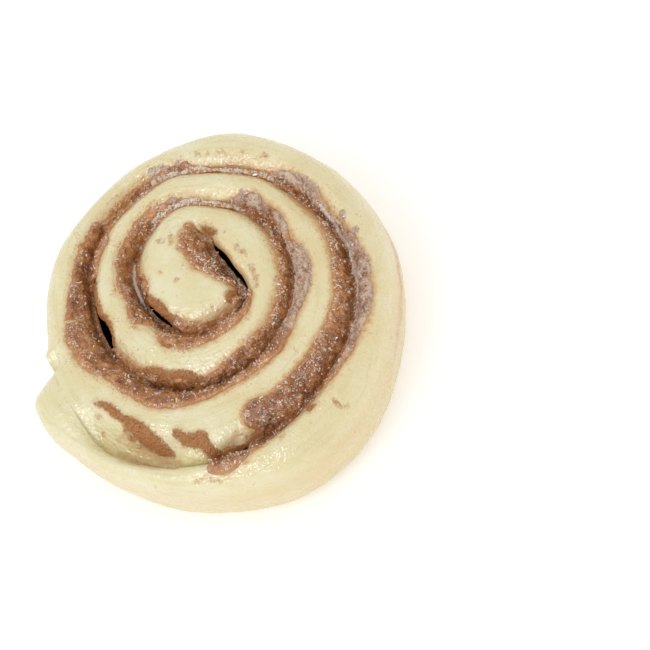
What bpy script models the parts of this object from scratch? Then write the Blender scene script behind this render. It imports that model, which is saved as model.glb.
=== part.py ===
"""A raw cinnamon bun, lying flat: a sheet of dough rolled up over a layer of cinnamon filling.

The roll winds clockwise, seen from above, round an eye that lies off the middle. A place along it is
a number of turns from the seam's inner end. The seam between two turns of dough holds the filling.
Past OUTLINE_START the same spiral goes on as the outer wall, which closes on itself at the tail.
"""

import math

import bmesh
import bpy
import numpy as np

MM = 0.001

# The roll's plan.
HEIGHT = 22 * MM
EYE = np.array([1.6, 8.27]) * MM
START_ANGLE = math.radians(60)
PLAN = np.array([
    # turn, distance from the eye in mm: the seam from its inner end, then the outer wall
    (0.000, 14.5), (0.050, 11.4), (0.110, 9.1), (0.170, 8.6), (0.240, 9.5), (0.300, 12.6),
    (0.330, 13.8), (0.400, 12.8), (0.500, 12.4), (0.625, 11.0), (0.750, 12.6), (0.875, 17.5),
    (0.938, 19.6), (1.000, 20.8), (1.063, 20.5), (1.125, 22.0), (1.188, 22.8), (1.250, 23.9),
    (1.375, 25.2), (1.438, 25.8), (1.500, 25.8), (1.563, 25.2), (1.625, 24.2), (1.750, 24.8),
    (1.875, 28.0), (1.938, 29.4), (1.980, 30.0), (2.020, 29.1), (2.063, 29.4), (2.125, 31.4), (2.188, 33.6),
    (2.250, 37.0), (2.313, 40.2), (2.375, 41.2), (2.438, 43.0), (2.500, 44.2), (2.550, 43.4),
    (2.600, 42.2), (2.635, 39.0), (2.665, 37.8), (2.690, 37.3), (2.720, 36.5), (2.750, 36.1),
    (2.812, 36.1), (2.875, 35.8), (2.938, 37.2), (3.000, 38.6), (3.063, 40.2), (3.125, 41.4),
    (3.188, 43.5), (3.250, 46.0), (3.313, 48.1), (3.375, 52.0), (3.438, 53.4), (3.500, 50.6),
    (3.563, 47.8), (3.625, 46.2), (3.660, 46.2), (3.675, 44.6), (3.690, 37.3),
])
SLOT_END = 2.50
OUTLINE_START = 2.69
TAIL_END = OUTLINE_START + 1

# The slot between two turns, and the open slits in it: (turn, spread, width, side of the filling).
SLOT_HALF = 1.0 * MM
SLOT_TAPER = 0.05
CLEARANCE = 0.3 * MM
INNER, OUTER = -1, 1
SLITS = [
    (0.195, 0.110, 1.2 * MM, OUTER),
    (0.65, 0.060, 0.8 * MM, INNER),
    (1.545, 0.034, 0.6 * MM, INNER),
    (1.725, 0.050, 0.8 * MM, INNER),
    (1.703, 0.026, 1.2 * MM, INNER),
]
SLIT_EDGE = 0.65
TIGHT_SEAMS = [(1.02, 0.085), (2.05, 0.09)]
TIGHTNESS = 0.45

# The ridges: how deep a groove is and how wide the shoulders beside it are rounded.
GROOVE_DEPTH = 5.4 * MM
SHOULDER = 4.6 * MM
RECESS_TURN, RECESS_SPREAD = 2.54, 0.08
RECESS_EXTRA_DEPTH = 2.6 * MM
ROLL_SLOPE, TAIL_SLOPE = 3.5 * MM, -1.2 * MM
WELD_TURN, WELD_SPREAD = 2.632, 0.04
WELD_DEPTH = 0.3 * MM
VALLEYS, VALLEY_SPREAD = {INNER: 2.51, OUTER: 2.595}, 0.04
RIM_DEPTH, RIM_SHOULDER = 6.0 * MM, 6.5 * MM
BASE_DEPTH, BASE_SHOULDER = 1.6 * MM, 2.4 * MM
BASE_RIM_DEPTH, BASE_RIM_SHOULDER = 4.0 * MM, 5.0 * MM
LEAST_RAISED = 0.05 * MM
WALL_BULGE = 0.6 * MM
SWELL = 0.5 * MM
SWELL_LENGTH = 21 * MM

# The filling's coat on the shoulders beside the seam.
COATS = np.array([
    # turn, width in mm towards the eye, width in mm away from it
    (-0.03, 6.5, 0.6), (0.00, 6.2, 0.5), (0.04, 5.3, 0.3), (0.10, 5.2, 0.2), (0.14, 4.8, 0.2),
    (0.17, 4.0, 0.2), (0.20, 3.1, 0.2), (0.23, 2.4, 0.2), (0.26, 0.8, 0.3), (0.30, 0.3, 1.2),
    (0.34, 1.4, 1.8), (0.37, 0.8, 2.8), (0.42, 0.2, 3.4), (0.46, 0.6, 3.3), (0.50, 1.4, 3.8),
    (0.54, 1.6, 3.6), (0.58, 2.4, 2.6), (0.62, 0.5, 1.7), (0.66, 0.3, 3.4), (0.70, 0.3, 3.0),
    (0.74, 2.2, 2.3), (0.78, 2.6, 3.2), (0.82, 1.4, 2.5), (0.86, 0.6, 2.4), (0.90, 0.2, 2.0),
    (0.94, 0.2, 2.3), (0.98, 0.1, 1.4), (1.02, 0.1, 0.5), (1.08, 0.1, 0.1), (1.10, 0.1, 1.4),
    (1.12, 0.2, 2.7), (1.14, 0.3, 2.1), (1.18, 0.6, 2.5), (1.21, 1.2, 1.4), (1.24, 1.8, 3.4),
    (1.27, 1.9, 5.0), (1.31, 2.0, 4.3), (1.34, 2.0, 3.9), (1.38, 2.4, 4.4), (1.42, 2.7, 3.3),
    (1.46, 1.7, 2.7), (1.50, 0.5, 3.9), (1.54, 0.5, 4.9), (1.58, 0.6, 4.3), (1.62, 1.2, 4.1),
    (1.66, 0.3, 5.4), (1.70, 0.3, 6.0), (1.74, 0.3, 4.2), (1.78, 1.1, 2.6), (1.82, 2.0, 1.9),
    (1.86, 2.0, 1.4), (1.90, 0.2, 0.8), (1.94, 0.1, 0.8), (1.97, 0.1, 1.0), (2.00, 0.1, 1.4),
    (2.02, 0.1, 0.4), (2.07, 0.1, 0.1), (2.11, 0.1, 0.5), (2.14, 0.2, 1.9), (2.18, 0.9, 1.8),
    (2.20, 1.0, 0.9), (2.23, 1.6, 1.6), (2.26, 2.4, 3.0), (2.30, 3.0, 3.6), (2.34, 3.6, 3.8),
    (2.38, 4.1, 2.2), (2.42, 4.4, 1.8), (2.436, 5.0, 2.4), (2.452, 0.2, 3.4), (2.48, 0.1, 4.6),
    (2.50, 0.1, 3.6),
])
COAT_UNDER = (0.0, 0.25, 0.45, 0.65, 0.85, 1.0)
COAT_OVER = ((1.0, 0.4 * MM), (0.75, 0.9 * MM), (0.4, 1.1 * MM))
COAT_LEAST = 0.7 * MM
SLOPE_STEP = 0.02 * MM
FILLING_RISE = 1.2 * MM
FILLING_START = 0.10
FILLING_BASE = 0.8 * MM

# How finely the surfaces are divided.
STATIONS = 46
TAIL_FINENESS, TAIL_FINE_SPREAD = 2.5, 0.03
ACROSS_TOP = 12
ACROSS_BASE = 6
CORE_RINGS = 4
SLOT_ROWS = 2
WALL_ROWS = 6
SEAM_SAMPLES_A_TURN = 400

DOUGH_COLOUR = (0.84, 0.76, 0.50)
FILLING_COLOUR = (0.24, 0.105, 0.052)


def smooth(x):
    """0 below 0, 1 above 1, and an even S between."""
    x = np.clip(x, 0.0, 1.0)
    return x * x * (3 - 2 * x)


def bump(turn, middle, spread):
    """1 at the middle, falling to 0 over about twice the spread."""
    return np.exp(-(((turn - middle) / spread) ** 2))


def plateau(turn, middle, spread):
    """1 round the middle, falling steeply to 0 at about the spread on either side."""
    return np.exp(-(((turn - middle) / spread) ** 4))


def through(knots, values, place):
    """A smooth curve through the values at their knots (cubic Hermite)."""
    place = np.clip(place, knots[0], knots[-1])
    slopes = np.gradient(values, knots)
    k = np.clip(np.searchsorted(knots, place, side="right") - 1, 0, len(knots) - 2)
    span = knots[k + 1] - knots[k]
    t = (place - knots[k]) / span
    return (
        values[k] * (1 + 2 * t) * (1 - t) ** 2
        + values[k + 1] * t**2 * (3 - 2 * t)
        + span * slopes[k] * t * (1 - t) ** 2
        + span * slopes[k + 1] * t**2 * (t - 1)
    )


def seam_radius(turn):
    """Distance from the eye to the seam, and past OUTLINE_START to the outer wall."""
    return MM * through(PLAN[:, 0], PLAN[:, 1], np.asarray(turn, float))


def make_stations():
    """The turns at which the roll is divided: the same places on every turn, finer at the tail."""
    fine = np.linspace(0, 1, 4001)
    tail = OUTLINE_START % 1
    apart = np.abs(fine - tail)
    density = 1 + TAIL_FINENESS * np.exp(-((np.minimum(apart, 1 - apart) / TAIL_FINE_SPREAD) ** 2))
    count = np.concatenate([[0], np.cumsum(0.5 * (density[1:] + density[:-1]))])
    share = np.interp(np.arange(STATIONS) / STATIONS, count / count[-1], fine)
    share[np.argmin(np.abs(share - tail))] = tail
    return np.concatenate([share + whole for whole in range(4)])


STATION_TURNS = make_stations()


def station_at(turn):
    return int(np.argmin(np.abs(STATION_TURNS - turn)))


def direction(turn):
    angle = START_ANGLE - 2 * math.pi * np.asarray(turn, float)
    return np.stack([np.cos(angle), np.sin(angle)], axis=-1)


def seam_point(turn):
    return EYE + seam_radius(turn)[..., None] * direction(turn)


def seam_normal(turn):
    """Unit vector across the seam, away from the eye."""
    step = 1e-4
    along = seam_point(np.asarray(turn) + step) - seam_point(np.asarray(turn) - step)
    along /= np.linalg.norm(along, axis=-1, keepdims=True)
    return np.stack([-along[..., 1], along[..., 0]], axis=-1)


def slot_taper(turn):
    end = STATION_TURNS[station_at(SLOT_END)]
    return smooth(turn / SLOT_TAPER) * smooth((end - turn) / SLOT_TAPER)


def slit(turn, side):
    """Width of the open slit between the filling and the dough on that side of it."""
    width = sum(w * plateau(turn, middle, spread) for middle, spread, w, s in SLITS if s == side)
    return width * slot_taper(turn)


def looseness(turn):
    """1 where the turns lie apart, less where they are pressed together."""
    return 1 - TIGHTNESS * sum(plateau(turn, middle, spread) for middle, spread in TIGHT_SEAMS)


def slot_at_base(turn, side):
    """Half the slot's width at the base, where no slit is open."""
    return SLOT_HALF * looseness(turn) * slot_taper(turn)


def slot_at_top(turn, side):
    return slot_at_base(turn, side) + slit(turn, side)


def slit_share(turn, side):
    """1 where a slit is open on that side of the seam, where the dough's edge stays high and sharp."""
    share = sum(plateau(turn, middle, spread) for middle, spread, _, s in SLITS if s == side)
    return np.minimum(share, 1)


def groove_depth(turn, side):
    """Depth of the shoulder beside the seam or, past OUTLINE_START, of the rounded rim."""
    depth = GROOVE_DEPTH * looseness(turn) * smooth(turn / SLOT_TAPER)
    depth = depth + RECESS_EXTRA_DEPTH * bump(turn, RECESS_TURN, RECESS_SPREAD)
    depth = depth * (1 - SLIT_EDGE * slit_share(turn, side))
    depth = depth + (WELD_DEPTH - depth) * smooth((turn - WELD_TURN) / WELD_SPREAD + 1)
    return depth + (RIM_DEPTH - depth) * smooth((turn - OUTLINE_START) / WELD_SPREAD)


def shoulder(turn, side):
    width = SHOULDER * (1 - SLIT_EDGE * slit_share(turn, side))
    width = width + (RIM_SHOULDER - width) * smooth((turn - OUTLINE_START) / WELD_SPREAD)
    slope = ROLL_SLOPE if side == INNER else TAIL_SLOPE
    return width + slope * bump(turn, RECESS_TURN, RECESS_SPREAD)


def valley(turn, side):
    """0 where the shoulder falls away more and more steeply, 1 where it ends in a soft hollow."""
    there = smooth((turn - VALLEYS[side]) / VALLEY_SPREAD)
    return there * smooth((OUTLINE_START - turn) / 0.01)


def base_depth(turn, side):
    rim = smooth((turn - OUTLINE_START) / WELD_SPREAD)
    ends = smooth(turn / SLOT_TAPER) * smooth((OUTLINE_START - turn) / SLOT_TAPER)
    return BASE_DEPTH * ends + BASE_RIM_DEPTH * rim


def base_shoulder(turn, side):
    rim = smooth((turn - OUTLINE_START) / WELD_SPREAD)
    return BASE_SHOULDER + (BASE_RIM_SHOULDER - BASE_SHOULDER) * rim


def swell(points):
    """Slow rise and fall of the top, so that no ridge is level."""
    x, y = points[..., 0] / SWELL_LENGTH, points[..., 1] / SWELL_LENGTH
    return SWELL * (np.sin(2.1 * x + 0.6) * np.cos(1.7 * y - 0.4) + 0.5 * np.sin(3.3 * y - 1.9 * x))


def drop(points, turns, opening, depth, width):
    """How far the surface lies below the crests, beside each seam and at the rim."""
    samples = np.arange(0, TAIL_END, 1 / SEAM_SAMPLES_A_TURN)
    centre, across = seam_point(samples), seam_normal(samples)
    half_step = 0.5 * np.linalg.norm(np.gradient(centre, axis=0), axis=1)
    fallen = np.zeros(len(points))
    for side in (INNER, OUTER):
        slot, deep, round_off, soft = (f(samples, side) for f in (opening, depth, width, valley))
        mine = (samples[None] < turns[:, None] - 0.5) == (side == OUTER)
        if side == OUTER:
            mine &= samples[None] < OUTLINE_START
        offset = points[:, None] - centre[None]
        over = np.abs((offset * across[None]).sum(2))
        beside = offset[..., 0] * across[None, :, 1] - offset[..., 1] * across[None, :, 0]
        away = np.hypot(over, np.maximum(np.abs(beside) - half_step, 0)) - slot
        share = np.clip(1 - away / round_off, 0, 1)
        sharp = 1 - np.sqrt(1 - share**2)
        here = deep * (sharp + soft * (share**2 * (3 - 2 * share) - sharp))
        fallen += np.where(mine, here, 0).max(axis=1)
    return fallen


def top_height(points, turns):
    return HEIGHT + swell(points) - drop(points, turns, slot_at_top, groove_depth, shoulder)


def base_height(points, turns):
    """The underside, level where it rests."""
    raised = drop(points, turns, slot_at_base, base_depth, base_shoulder)
    return np.where(raised > LEAST_RAISED, raised, 0)


def core_edge(turn):
    """Where the core disc ends and the strip begins: it starts and ends at the seam's inner end."""
    inner_share = seam_radius(0.0) / seam_radius(1.0)
    grown = 1 - (1 - turn) ** 4
    radius = seam_radius(turn) * (1 - (1 - inner_share) * grown)
    return EYE + radius * direction(turn)


def inner_edge(station, opening):
    """The strip's edge towards the eye, at a station."""
    if station < STATIONS:
        return core_edge(STATION_TURNS[station])
    turn = STATION_TURNS[station - STATIONS]
    return seam_point(turn) + opening(turn, OUTER) * seam_normal(turn)


def outer_edge(station, opening):
    turn = STATION_TURNS[station]
    if turn >= OUTLINE_START:
        return seam_point(turn)
    return seam_point(turn) - opening(turn, INNER) * seam_normal(turn)


class Surface:
    """Vertices and faces of one sheet or wall, joined to the others by their shared places."""

    def __init__(self, mesh):
        self.mesh = mesh

    def grid(self, rows):
        """Faces between neighbouring rows of points, where every row has the same number of them."""
        made = [[self.mesh.verts.new(point) for point in row] for row in rows]
        for row, following in zip(made, made[1:]):
            for k in range(len(row) - 1):
                self.mesh.faces.new((row[k], row[k + 1], following[k + 1], following[k]))


def sheet_rows(height, lower, opening, across):
    """The strip's top or base, one row of points a station, and the same for the core disc.

    Where two turns are welded, their edges share the lower of their heights."""
    share = 0.5 - 0.5 * np.cos(np.pi * np.arange(across + 1) / across)
    first, last = station_at(OUTLINE_START), station_at(TAIL_END)
    strip, core = [], []
    for station in range(last):
        turn = STATION_TURNS[station]
        a, b = inner_edge(station, opening), outer_edge(station, opening)
        flat = a + share[:, None] * (b - a)
        z = height(flat, np.full(len(flat), turn))
        if station == 0:
            z[:] = z[-1]
        strip.append(np.column_stack([flat, z]))
    strip[STATIONS][0][2] = strip[0][-1][2]
    for station in range(station_at(SLOT_END), first):
        inner, outer = strip[station][-1], strip[station + STATIONS][0]
        inner[2] = outer[2] = lower(inner[2], outer[2])
    strip.append(np.tile(strip[first][-1], (across + 1, 1)))
    rings = np.arange(CORE_RINGS + 1) / CORE_RINGS
    eye_z = height(EYE[None], np.zeros(1))[0]
    for station in range(STATIONS + 1):
        rim = strip[station][0]
        flat = EYE + rings[:, None] * (rim[:2] - EYE)
        z = height(flat, np.zeros(len(flat)))
        z[0], z[-1] = eye_z, rim[2]
        core.append(np.column_stack([flat, z]))
    return strip, core


def wall_column(top, base, rows, outward=None):
    """Points down a wall from its top to its base, bulging outward where it faces out."""
    share = np.arange(rows + 1) / rows
    points = top + share[:, None] * (base - top)
    if outward is not None:
        points[:, :2] += (WALL_BULGE * np.sin(np.pi * share))[:, None] * outward
    return points


def dough_mesh():
    """The whole roll of dough as one closed mesh."""
    mesh = bmesh.new()
    surface = Surface(mesh)

    top, top_core = sheet_rows(top_height, min, slot_at_top, ACROSS_TOP)
    base, base_core = sheet_rows(base_height, max, slot_at_base, ACROSS_BASE)
    for rows in (top, top_core, base, base_core):
        surface.grid(rows)
    slot = range(station_at(SLOT_END) + 1)
    surface.grid([wall_column(top[i][-1], base[i][-1], SLOT_ROWS) for i in slot])
    surface.grid([
        wall_column(top[i + STATIONS][0], base[i + STATIONS][0], SLOT_ROWS) for i in slot
    ])
    first, last = station_at(OUTLINE_START), station_at(TAIL_END)
    around = [*range(first, last), first]
    surface.grid([
        wall_column(top[i][-1], base[i][-1], WALL_ROWS, seam_normal(STATION_TURNS[i])) for i in around
    ])
    return mesh


def close_up(mesh):
    """Joins the sheets and walls where they meet and turns every face outward."""
    bmesh.ops.remove_doubles(mesh, verts=mesh.verts, dist=0.01 * MM)
    bmesh.ops.dissolve_degenerate(mesh, edges=mesh.edges, dist=0.005 * MM)
    bmesh.ops.recalc_face_normals(mesh, faces=mesh.faces)


def filling_side(turns, side):
    """Half of the filling's section at every station: up the slot's wall, over the shoulder and back."""
    coat = MM * through(COATS[:, 0], COATS[:, 1 if side == INNER else 2], turns)
    coat = np.maximum(coat, COAT_LEAST) * (1 - SLIT_EDGE * smooth(slit(turns, side) / SLOT_HALF))
    gap = CLEARANCE + slit(turns, side)
    edge = slot_at_top(turns, side)
    centre, across = seam_point(turns), seam_normal(turns)
    dough_turns = turns + 1 if side == OUTER else turns

    def wall(height):
        return side * (edge - gap), np.full(len(turns), height)

    def ground(out):
        return top_height(centre + (side * out)[:, None] * across, dough_turns)

    def over_shoulder(share, lift):
        out = edge + coat * (1 - np.cos(share * np.pi / 2))
        rise = (ground(out + SLOPE_STEP) - ground(out)) / SLOPE_STEP
        steep = np.hypot(rise, 1)
        return side * (out - lift * rise / steep), ground(out) + lift / steep

    return [
        wall(FILLING_BASE),
        wall(0.55 * HEIGHT),
        *(over_shoulder(share, gap) for share in COAT_UNDER),
        *(over_shoulder(share, gap + thick) for share, thick in COAT_OVER),
    ]


def filling_loops(turns):
    """The filling's section at every station, as closed loops of points."""
    centre, across = seam_point(turns), seam_normal(turns)
    deeper = np.maximum(groove_depth(turns, INNER), groove_depth(turns, OUTER))
    level = HEIGHT + swell(centre) - deeper + FILLING_RISE
    outer, inner = filling_side(turns, OUTER), filling_side(turns, INNER)
    section = [*outer, (np.zeros(len(turns)), level), *reversed(inner)]
    return [
        [(*(centre[k] + out[k] * across[k]), up[k]) for out, up in section] for k in range(len(turns))
    ]


def filling_mesh():
    """The layer of filling, swept along the seam with its own section at each station."""
    mesh = bmesh.new()
    turns = STATION_TURNS[station_at(FILLING_START):station_at(SLOT_END) - 1]
    loops = [[mesh.verts.new(point) for point in loop] for loop in filling_loops(turns)]
    for loop, following in zip(loops, loops[1:]):
        for k in range(len(loop)):
            n = (k + 1) % len(loop)
            mesh.faces.new((loop[k], loop[n], following[n], following[k]))
    mesh.faces.new(loops[0])
    mesh.faces.new(loops[-1])
    return mesh


def material(name, colour, roughness):
    made = bpy.data.materials.new(name)
    made.use_nodes = True
    shader = made.node_tree.nodes["Principled BSDF"]
    shader.inputs["Base Color"].default_value = (*colour, 1)
    shader.inputs["Roughness"].default_value = roughness
    shader.inputs["Metallic"].default_value = 0
    return made


def add_piece(name, mesh, finish, collection, parent):
    close_up(mesh)
    data = bpy.data.meshes.new(name)
    mesh.to_mesh(data)
    mesh.free()
    data.shade_smooth()
    data.materials.append(finish)
    piece = bpy.data.objects.new(name, data)
    piece.parent = parent
    collection.objects.link(piece)
    return piece


def main():
    for old in list(bpy.data.objects):
        bpy.data.objects.remove(old)
    collection = bpy.data.collections.new("cinnamon_bun")
    bpy.context.scene.collection.children.link(collection)
    bun = bpy.data.objects.new("bun_on_its_base", None)
    collection.objects.link(bun)
    add_piece("dough", dough_mesh(), material("dough", DOUGH_COLOUR, 0.45), collection, bun)
    add_piece("filling", filling_mesh(), material("filling", FILLING_COLOUR, 0.6), collection, bun)


main()
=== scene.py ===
import math

import bmesh
import bpy
import numpy as np
from mathutils import Matrix


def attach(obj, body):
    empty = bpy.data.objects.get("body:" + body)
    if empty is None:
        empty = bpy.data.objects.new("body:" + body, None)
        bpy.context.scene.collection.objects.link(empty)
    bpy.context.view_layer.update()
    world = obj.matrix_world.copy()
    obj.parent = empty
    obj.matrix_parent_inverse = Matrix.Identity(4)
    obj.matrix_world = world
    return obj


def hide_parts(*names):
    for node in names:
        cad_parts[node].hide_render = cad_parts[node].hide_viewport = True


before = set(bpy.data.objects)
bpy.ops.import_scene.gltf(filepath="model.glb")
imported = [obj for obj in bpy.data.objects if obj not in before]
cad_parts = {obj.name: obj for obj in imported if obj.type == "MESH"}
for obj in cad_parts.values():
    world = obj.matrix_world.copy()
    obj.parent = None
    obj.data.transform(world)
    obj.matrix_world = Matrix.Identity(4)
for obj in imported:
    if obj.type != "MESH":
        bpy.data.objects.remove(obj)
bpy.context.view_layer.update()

scene = bpy.context.scene

MM = 0.001

# The roll's plan: a place along it is a number of turns, clockwise, from the seam's inner end.
HEIGHT = 22 * MM
EYE = np.array([1.6, 8.27]) * MM
START_ANGLE = math.radians(60)
PLAN = np.array([
    # turn, distance from the eye in mm: the seam from its inner end, then the outer wall
    (0.000, 14.5), (0.050, 11.4), (0.110, 9.1), (0.170, 8.6), (0.240, 9.5), (0.300, 12.6),
    (0.330, 13.8), (0.400, 12.8), (0.500, 12.4), (0.625, 11.0), (0.750, 12.6), (0.875, 17.5),
    (0.938, 19.6), (1.000, 20.8), (1.063, 20.5), (1.125, 22.0), (1.188, 22.8), (1.250, 23.9),
    (1.375, 25.2), (1.438, 25.8), (1.500, 25.8), (1.563, 25.2), (1.625, 24.2), (1.750, 24.8),
    (1.875, 28.0), (1.938, 29.4), (1.980, 30.0), (2.020, 29.1), (2.063, 29.4), (2.125, 31.4),
    (2.188, 33.6), (2.250, 37.0), (2.313, 40.2), (2.375, 41.2), (2.438, 43.0), (2.500, 44.2),
    (2.550, 43.4), (2.600, 42.2), (2.635, 39.0), (2.665, 37.8), (2.690, 37.3), (2.720, 36.5),
    (2.750, 36.1), (2.812, 36.1), (2.875, 35.8), (2.938, 37.2), (3.000, 38.6), (3.063, 40.2),
    (3.125, 41.4), (3.188, 43.5), (3.250, 46.0), (3.313, 48.1), (3.375, 52.0), (3.438, 53.4),
    (3.500, 50.6), (3.563, 47.8), (3.625, 46.2), (3.660, 46.2), (3.675, 44.6), (3.690, 37.3),
])
SLOT_END = 2.50
OUTLINE_START = 2.69
TAIL_END = OUTLINE_START + 1

# The slot between two turns, with how far the filling keeps from its walls and half the filling's
# least width, and the open slits in it: (turn, spread, width, side of the filling).
SLOT_HALF = 1.0 * MM
SLOT_TAPER = 0.05
CLEARANCE, LEAST_HALF = 0.3 * MM, 0.15 * MM
INNER, OUTER = SIDES = -1, 1
SLITS = [
    (0.195, 0.110, 0.95 * MM, OUTER),
    (0.652, 0.074, 0.8 * MM, INNER),
    (1.526, 0.018, 0.25 * MM, INNER),
    (1.567, 0.013, 0.22 * MM, INNER),
    (1.728, 0.056, 1.2 * MM, INNER),
    (1.694, 0.024, 1.2 * MM, INNER),
]
SLIT_EDGE = 0.65
TIGHT_SEAMS = [(1.02, 0.085), (2.05, 0.09)]
TIGHTNESS = 0.45

# The ridges: how deep a groove is and how wide the shoulders beside it are rounded.
GROOVE_DEPTH = 5.4 * MM
SHOULDER = 4.6 * MM
RECESS_TURN, RECESS_SPREAD = 2.54, 0.08
RECESS_EXTRA_DEPTH = 2.6 * MM
ROLL_SLOPE, TAIL_SLOPE = 3.5 * MM, -1.2 * MM
WELD_TURN, WELD_SPREAD = 2.632, 0.04
WELD_DEPTH = 0.3 * MM
VALLEYS, VALLEY_SPREAD, VALLEY_END = {INNER: 2.51, OUTER: 2.595}, 0.04, 0.01
RIM_DEPTH, RIM_SHOULDER = 6.0 * MM, 6.5 * MM
BASE_DEPTH, BASE_SHOULDER = 1.6 * MM, 2.4 * MM
BASE_RIM_DEPTH, BASE_RIM_SHOULDER = 4.0 * MM, 5.0 * MM
LEAST_RAISED = 0.05 * MM
WALL_BULGE = 0.6 * MM
SWELL = 0.5 * MM
SWELL_LENGTH = 21 * MM

# The filling, and its coat on the shoulders beside the seam.
COATS = np.array([
    # turn, width in mm towards the eye, width in mm away from it
    (-0.03, 4.0, 0.6), (0.00, 4.0, 0.5), (0.02, 3.7, 0.3), (0.05, 4.2, 0.3), (0.10, 4.7, 0.2),
    (0.14, 4.6, 0.2), (0.17, 4.0, 0.2), (0.20, 3.1, 0.2), (0.23, 2.4, 0.2), (0.26, 0.8, 0.3),
    (0.30, 0.3, 1.2), (0.34, 1.4, 1.8), (0.37, 0.8, 2.8), (0.42, 0.2, 3.4), (0.46, 0.6, 3.3),
    (0.50, 1.4, 3.8), (0.54, 1.6, 3.6), (0.58, 2.4, 2.6), (0.62, 0.5, 1.7), (0.66, 0.3, 3.4),
    (0.70, 0.3, 3.0), (0.74, 2.2, 2.3), (0.78, 2.6, 3.2), (0.82, 1.4, 2.5), (0.86, 0.6, 2.4),
    (0.90, 0.2, 2.0), (0.94, 0.2, 2.3), (0.98, 0.1, 1.4), (1.02, 0.1, 0.5), (1.08, 0.1, 0.1),
    (1.10, 0.1, 1.4), (1.12, 0.2, 2.7), (1.14, 0.3, 2.1), (1.18, 0.6, 2.5), (1.21, 1.2, 1.4),
    (1.24, 1.5, 2.8), (1.27, 1.5, 4.1), (1.31, 1.6, 3.5), (1.34, 1.6, 3.2), (1.38, 2.1, 3.8),
    (1.42, 2.7, 3.3), (1.46, 1.7, 2.7), (1.50, 0.5, 3.9), (1.54, 0.5, 4.9), (1.58, 0.6, 4.3),
    (1.62, 1.2, 4.1), (1.66, 0.3, 5.4), (1.70, 0.3, 6.0), (1.74, 0.3, 4.2), (1.78, 1.1, 2.6),
    (1.82, 2.0, 1.9), (1.86, 2.0, 1.4), (1.90, 0.2, 0.8), (1.94, 0.1, 0.8), (1.97, 0.1, 1.0),
    (2.00, 0.1, 1.4), (2.02, 0.1, 0.4), (2.07, 0.1, 0.1), (2.11, 0.1, 0.5), (2.14, 0.2, 1.9),
    (2.18, 0.9, 1.8), (2.20, 1.0, 0.9), (2.23, 1.6, 1.6), (2.26, 2.4, 3.0), (2.30, 3.0, 3.6),
    (2.34, 3.8, 2.8), (2.38, 4.3, 1.2), (2.42, 5.0, 0.8), (2.447, 5.3, 1.3), (2.459, 0.2, 2.4),
    (2.478, 0.1, 4.4), (2.50, 0.1, 3.6),
])
COAT_ENDS = (0.03, 0.016)
COAT_END_SHARPNESS = 3
FILLING_RISE = 1.2 * MM
FILLING_START, SWEEP_MARGIN = -0.018, 0.004
FILLING_BASE = 0.8 * MM

# Filling that sticks to the dough across an open slit: (turn, spread, width, side of the filling).
FAR_COATS = [
    (0.655, 0.075, 1.5 * MM, INNER),
    (1.545, 0.060, 2.2 * MM, INNER),
    (1.73, 0.070, 1.2 * MM, INNER),
]

# Strokes through places (x, y, half width) in mm: dough bare of the filling's coat, smears and spots
# of filling on the dough, folds in the pocket's floor with painted shade, and dough frosted with
# sugar.
BARE = [
    [(-14.2, 7.6, 0.2), (-13.0, 6.2, 0.6), (-11.8, 4.8, 0.7), (-10.5, 3.3, 0.7),
     (-9.2, 1.8, 0.6), (-8.3, 0.2, 0.3)],
    [(-26.8, 20.0, 0.1), (-25.6, 19.3, 0.25), (-24.5, 18.6, 0.25), (-23.6, 17.4, 0.1)],
    [(-1.9, 39.1, 0.5), (-0.9, 37.4, 0.3)],
    [(2.8, 20.8, 1.4), (5.6, 22.9, 1.6), (8.2, 23.6, 1.4)],
    [(-9.2, -29.5, 0.9), (-8.0, -33.0, 1.5), (-6.6, -35.4, 0.9)],
]
SMEARS = [
    [(-31.4, -2.5, 0.5), (-30.0, -5.2, 0.9), (-28.9, -9.9, 0.9), (-27.7, -13.0, 1.5),
     (-27.1, -16.3, 2.0), (-26.2, -19.3, 1.5), (-24.4, -23.4, 0.5)],
    [(-21.1, -21.3, 0.7), (-20.3, -24.2, 1.4), (-17.8, -26.4, 2.0), (-17.6, -28.8, 1.1),
     (-16.4, -31.1, 0.8)],
    [(-30.4, -12.2, 0.2), (-30.3, -14.5, 0.4), (-29.8, -16.2, 0.2)],
    [(-11.5, 0.3, 0.6), (-10.9, -2.4, 0.9), (-8.7, -3.0, 0.6)],
    [(12.0, 17.4, 0.4), (12.4, 15.6, 0.7), (13.5, 13.9, 0.5)],
    [(7.0, -1.6, 0.9), (8.9, -1.2, 0.9), (10.4, -0.2, 0.5)],
    [(-7.5, 5.8, 0.9), (-7.0, 3.6, 1.3), (-5.6, 0.8, 1.0)],
    [(5.4, -37.1, 0.6), (7.1, -37.2, 0.4)],
]
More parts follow.
